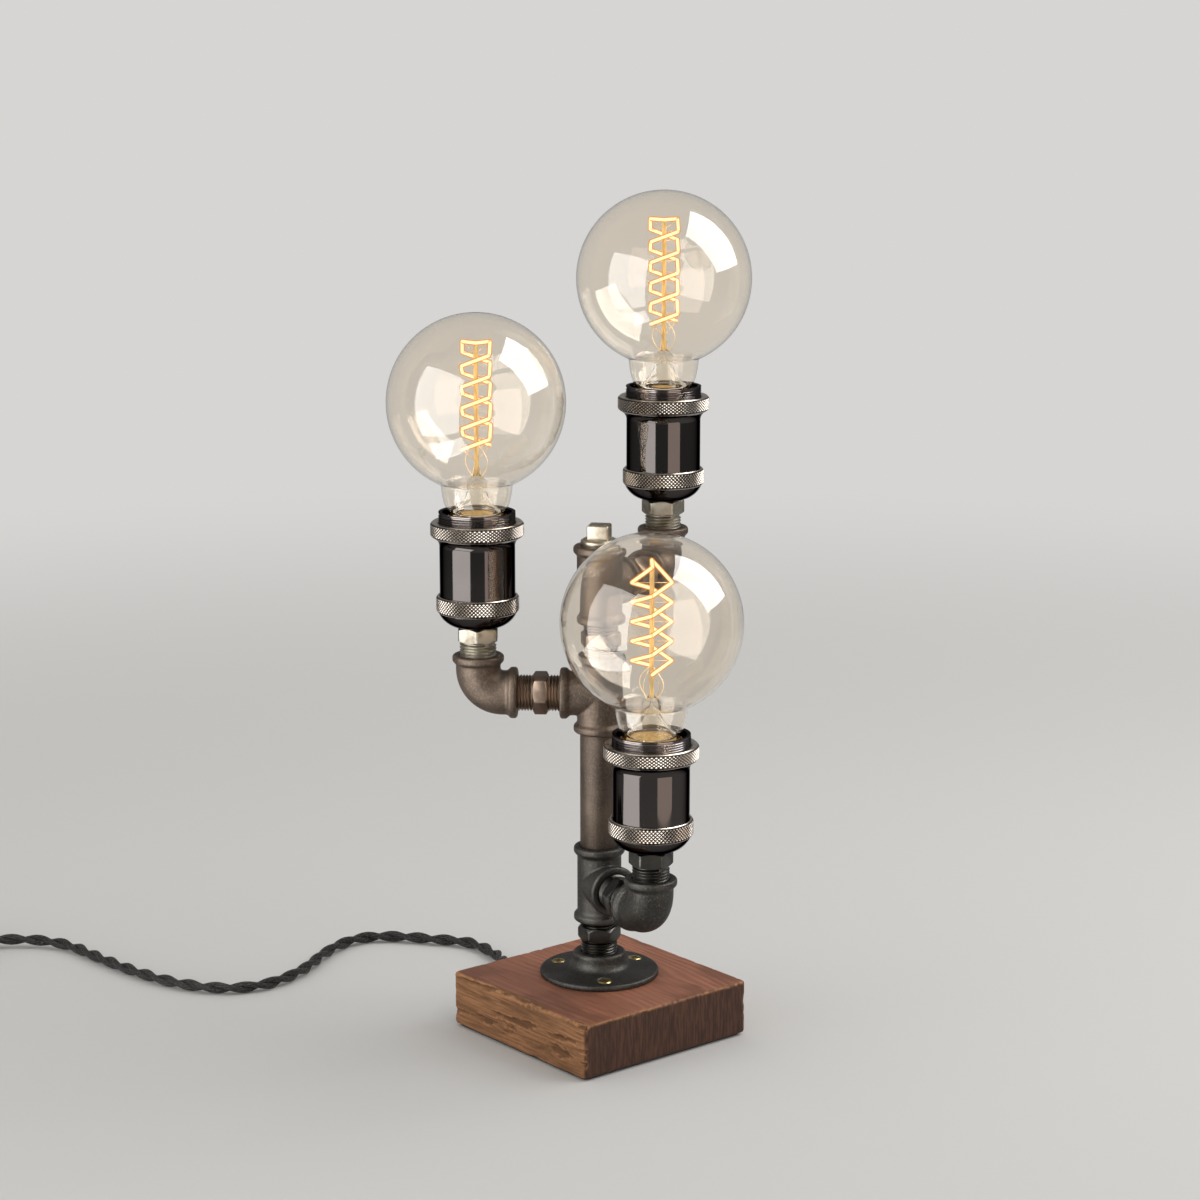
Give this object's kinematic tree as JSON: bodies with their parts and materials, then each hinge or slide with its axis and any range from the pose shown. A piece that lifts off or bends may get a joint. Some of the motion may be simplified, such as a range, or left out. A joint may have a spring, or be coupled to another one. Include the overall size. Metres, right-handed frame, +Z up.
{
  "type": "table lamp",
  "caption": "Table lamp of threaded pipe fittings on a square wooden base: short arms off a column of tees carry screw bulb holders with globe bulbs that show their cage filaments.",
  "frame": {"origin": "on the column's axis, on the surface the lamp stands on (underside of the felt)", "axes": "+Z up along the column; X and Y along the edges of the square base, the lead leaves the base in +Y"},
  "size_m": [0.3891, 0.416, 0.3815],
  "materials": {
    "oak": "waxed",
    "felt": "felt",
    "dark_iron": "oiled, blackened",
    "bronzed_iron": "oiled, brown",
    "raw_steel": "drawn pipe, dull",
    "nickel": "nickel plated",
    "screw_brass": "polished",
    "black_chrome": "black chrome, mirror bright",
    "gunmetal": "knurled, gunmetal plated",
    "porcelain": "glazed porcelain",
    "contact_brass": "stamped sheet",
    "bulb_glass": "clear, faintly amber",
    "cap_glass": "black glass insulator",
    "stem_glass": "clear",
    "filament_wire": "glowing wire",
    "lead_textile": "braided textile over insulation",
    "lead_insulation": "sleeved flexible lead",
    "black_rubber": "moulded",
    "black_plastic": "moulded",
    "terminal_plastic": "moulded",
    "pin_metal": "nickel plated"
  },
  "bodies": {
    "stand": {"base_block": "oak", "felt_pad": "felt", "terminal_block": "terminal_plastic", "strain_relief": "black_rubber", "floor_flange": "dark_iron", "flange_screws": "screw_brass", "lower_nipple": "dark_iron", "riser_pipe": "raw_steel", "upper_nipple": "bronzed_iron", "top_plug": "bronzed_iron", "inner_leads": "lead_insulation", "holder_studs": "contact_brass", "thread_sleeves": "contact_brass", "centre_contacts": "contact_brass", "mains_lead": "lead_textile", "lead_coil": "lead_textile", "switch_housing": "black_plastic", "plug_body": "black_plastic", "plug_pins": "pin_metal", "lower_tee": "dark_iron", "lower_arm_nipple": "dark_iron", "lower_elbow": "dark_iron", "lower_holder_bushing": "dark_iron", "lower_holder_cap": "gunmetal", "lower_holder_shell": "black_chrome", "lower_holder_core": "porcelain", "middle_tee": "bronzed_iron", "middle_arm_nipple": "bronzed_iron", "middle_elbow": "bronzed_iron", "middle_holder_bushing": "nickel", "middle_holder_cap": "gunmetal", "middle_holder_shell": "black_chrome", "middle_holder_core": "porcelain", "upper_tee": "bronzed_iron", "upper_arm_nipple": "bronzed_iron", "upper_elbow": "bronzed_iron", "upper_holder_bushing": "nickel", "upper_holder_cap": "gunmetal", "upper_holder_shell": "black_chrome", "upper_holder_core": "porcelain"},
    "rocker": {"switch_rocker": "black_plastic"},
    "lower_bulb_lift": {"lower_bulb_tip": "cap_glass"},
    "lower_bulb": {"lower_bulb_cap": "contact_brass", "lower_globe": "bulb_glass", "lower_mount": "stem_glass", "lower_filament": "filament_wire"},
    "lower_ring": {"lower_shade_ring": "gunmetal"},
    "middle_bulb_lift": {"middle_bulb_tip": "cap_glass"},
    "middle_bulb": {"middle_bulb_cap": "contact_brass", "middle_globe": "bulb_glass", "middle_mount": "stem_glass", "middle_filament": "filament_wire"},
    "middle_ring": {"middle_shade_ring": "gunmetal"},
    "upper_bulb_lift": {"upper_bulb_tip": "cap_glass"},
    "upper_bulb": {"upper_bulb_cap": "contact_brass", "upper_globe": "bulb_glass", "upper_mount": "stem_glass", "upper_filament": "filament_wire"},
    "upper_ring": {"upper_shade_ring": "gunmetal"}
  },
  "joints": [
    {"name": "lower_bulb_rise", "type": "slide", "parent": "stand", "child": "lower_bulb_lift", "axis": [0, 0, 1], "range_m": [0, 0.01452]},
    {"name": "lower_bulb_turn", "type": "hinge", "parent": "lower_bulb_lift", "child": "lower_bulb", "pos_m": [-0.01418, -0.05293, 0.1238], "axis": [0, 0, 1], "range_deg": [0, 1440]},
    {"name": "lower_ring_slide", "type": "slide", "parent": "stand", "child": "lower_ring", "axis": [0, 0, 1], "range_m": [0, 0.0045]},
    {"name": "middle_bulb_rise", "type": "slide", "parent": "stand", "child": "middle_bulb_lift", "axis": [0, 0, 1], "range_m": [0, 0.01452]},
    {"name": "middle_bulb_turn", "type": "hinge", "parent": "middle_bulb_lift", "child": "middle_bulb", "pos_m": [-0.04072, 0.03667, 0.2128], "axis": [0, 0, 1], "range_deg": [0, 1440]},
    {"name": "middle_ring_slide", "type": "slide", "parent": "stand", "child": "middle_ring", "axis": [0, 0, 1], "range_m": [0, 0.0045]},
    {"name": "upper_bulb_rise", "type": "slide", "parent": "stand", "child": "upper_bulb_lift", "axis": [0, 0, 1], "range_m": [0, 0.01452]},
    {"name": "upper_bulb_turn", "type": "hinge", "parent": "upper_bulb_lift", "child": "upper_bulb", "pos_m": [0.05212, 0.01693, 0.2634], "axis": [0, 0, 1], "range_deg": [0, 1440]},
    {"name": "upper_ring_slide", "type": "slide", "parent": "stand", "child": "upper_ring", "axis": [0, 0, 1], "range_m": [0, 0.0045]},
    {"name": "rocker_tilt", "type": "hinge", "parent": "stand", "child": "rocker", "pos_m": [-0.1921, 0.2946, 0.014], "axis": [-0.4848, -0.8746, 0], "range_deg": [0, 18]}
  ],
  "couplings": [
    {"joint": "lower_bulb_rise", "follows": "lower_bulb_turn", "m_per_rad": 0.00057757},
    {"joint": "middle_bulb_rise", "follows": "middle_bulb_turn", "m_per_rad": 0.00057757},
    {"joint": "upper_bulb_rise", "follows": "upper_bulb_turn", "m_per_rad": 0.00057757}
  ]
}
